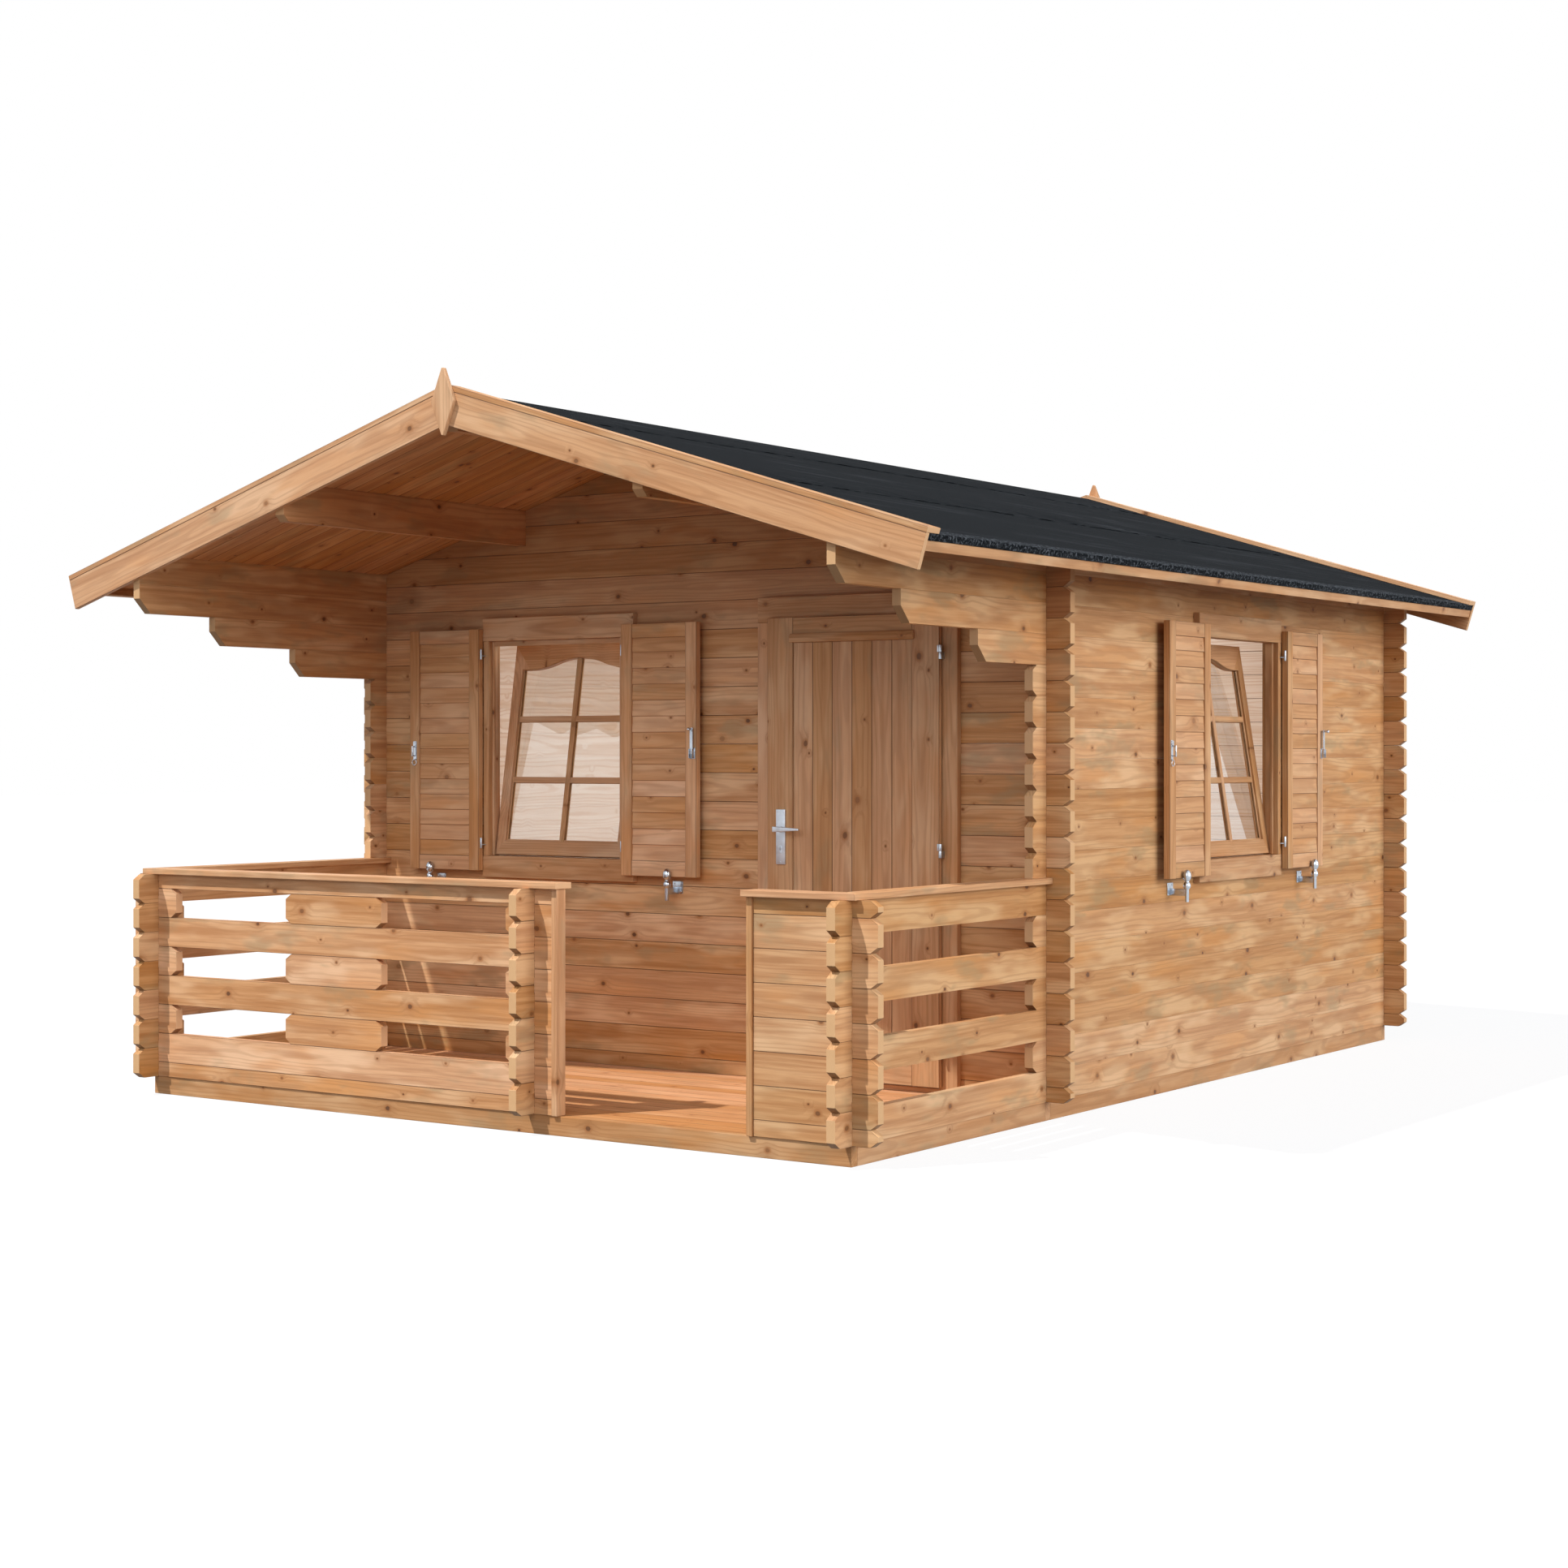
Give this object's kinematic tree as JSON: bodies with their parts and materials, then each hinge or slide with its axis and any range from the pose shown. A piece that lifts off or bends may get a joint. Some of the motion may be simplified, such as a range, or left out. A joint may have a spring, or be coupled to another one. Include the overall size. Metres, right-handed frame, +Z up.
{
  "type": "garden log cabin",
  "caption": "Garden log cabin of interlocking logs with a felted gable roof, an open railed veranda, a door that swings, a tilted window on two walls and open louvred shutters.",
  "frame": {"origin": "under the middle of the cabin's overall box, at the underside of the bearers", "axes": "+Z up, the veranda gable faces -Y, +X to the right of someone who looks at the veranda"},
  "size_m": [4.0196, 4.954, 2.7161],
  "materials": {
    "log_wood": "planed spruce logs, satin",
    "trim_wood": "planed spruce boards, satin",
    "roof_wood": "planed spruce boards, satin",
    "floor_wood": "planed spruce boards, satin",
    "bearer_wood": "sawn spruce bearers, satin",
    "frame_wood": "planed frames, satin",
    "door_wood": "planed door, satin",
    "shutter_wood": "planed shutters, satin",
    "roof_felt": "mineral bitumen felt, matt",
    "window_glass": "clear float glass",
    "lock_metal": "satin plated",
    "hinge_metal": "zinc plated",
    "catch_metal": "zinc plated casting"
  },
  "bodies": {
    "cabin": {"barge_caps": "trim_wood", "bearers": "bearer_wood", "cabin_floor": "floor_wood", "door_frame": "frame_wood", "door_hinge_pins": "hinge_metal", "door_threshold": "frame_wood", "eave_strips": "trim_wood", "entry_jamb_boards": "trim_wood", "finials": "trim_wood", "floor_joists": "bearer_wood", "front_barge_boards": "trim_wood", "front_gable": "log_wood", "front_wall_left": "log_wood", "front_wall_right": "log_wood", "handrail_left": "trim_wood", "handrail_right": "trim_wood", "left_wall": "log_wood", "rear_barge_boards": "trim_wood", "rear_gable": "log_wood", "rear_wall": "log_wood", "ridge_purlin": "roof_wood", "right_wall": "log_wood", "roof_boards_left": "roof_wood", "roof_boards_right": "roof_wood", "roof_felt_left": "roof_felt", "roof_felt_right": "roof_felt", "shutter_catches": "catch_metal", "shutter_hinges": "hinge_metal", "shutters": "shutter_wood", "side_purlins": "roof_wood", "veranda_floor": "floor_wood", "veranda_front_left_panel": "log_wood", "veranda_front_right_panel": "log_wood", "veranda_pilaster": "log_wood", "veranda_rail_stubs": "log_wood", "window_frames": "frame_wood", "window_glass": "window_glass", "window_sashes": "frame_wood"},
    "door": {"door_leaf": "door_wood", "door_planks": "door_wood", "door_drip_rail": "door_wood", "door_lock_plates": "lock_metal", "door_hinge_knuckles": "hinge_metal"},
    "lever": {"door_lever": "lock_metal"}
  },
  "joints": [
    {"name": "door_swing", "type": "hinge", "parent": "cabin", "child": "door", "pos_m": [1.234, -1.098, 0.98], "axis": [0, 0, 1], "range_deg": [0, 105]},
    {"name": "lever_turn", "type": "hinge", "parent": "door", "child": "lever", "pos_m": [0.513, -1.094, 1.05], "axis": [0, 1, 0], "range_deg": [0, 40], "stiffness_Nm_per_rad": 1.5}
  ]
}
